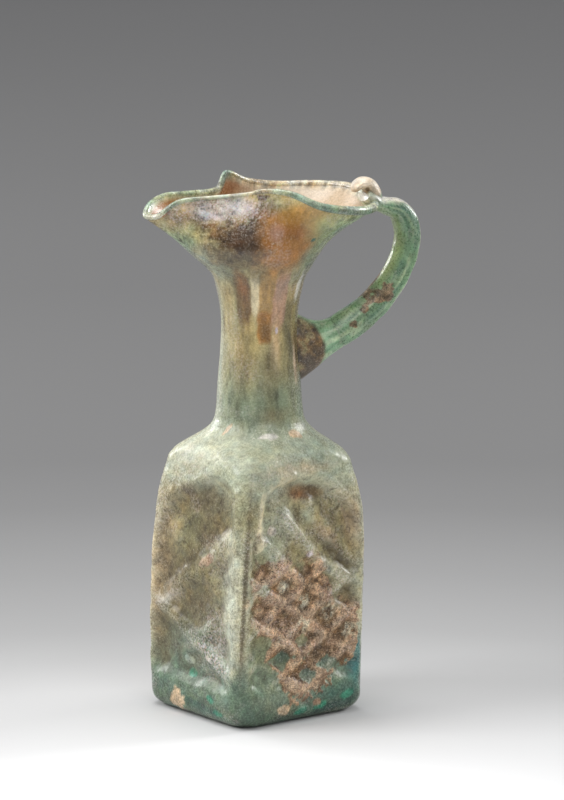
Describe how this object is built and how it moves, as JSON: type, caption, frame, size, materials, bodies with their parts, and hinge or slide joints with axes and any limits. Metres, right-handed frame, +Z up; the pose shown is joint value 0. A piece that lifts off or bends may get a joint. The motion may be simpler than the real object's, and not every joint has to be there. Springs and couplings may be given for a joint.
{
  "type": "glass jug",
  "caption": "Four-sided mould-blown glass jug with sunken lattice panels, a cylindrical neck, a trefoil pouring mouth and one rod handle from neck to rim.",
  "frame": {"origin": "centre of the underside of the base, on the body's axis", "axes": "+Z up, spout towards -X, handle on the +X side"},
  "size_m": [0.1105, 0.076, 0.2077],
  "materials": {
    "base_glass": "teal-green glass with brown crust, satin",
    "body_glass": "weathered green glass with tan and olive-brown crust, satin with iridescent spots",
    "shoulder_glass": "pale green glass with buff streaks, satin",
    "neck_glass": "pale grey-green glass lined with beige soil, glossy",
    "mouth_glass": "amber and grey-brown weathered glass with a buff lining, satin",
    "rim_glass": "fire-rounded teal-green glass, glossy",
    "pad_glass": "brown crusted glass, matt",
    "handle_glass": "sea-green glass with brown crust patches, glossy",
    "thumb_glass": "buff-white weathered glass, satin"
  },
  "bodies": {
    "root": {"base": "base_glass", "body_wall": "body_glass", "shoulder": "shoulder_glass", "neck": "neck_glass", "mouth_funnel": "mouth_glass", "rim_roll": "rim_glass", "handle_foot_pad": "pad_glass", "handle_rod": "handle_glass", "handle_claw": "handle_glass", "thumb_rest": "thumb_glass", "pontil_scar": "base_glass"}
  },
  "joints": []
}
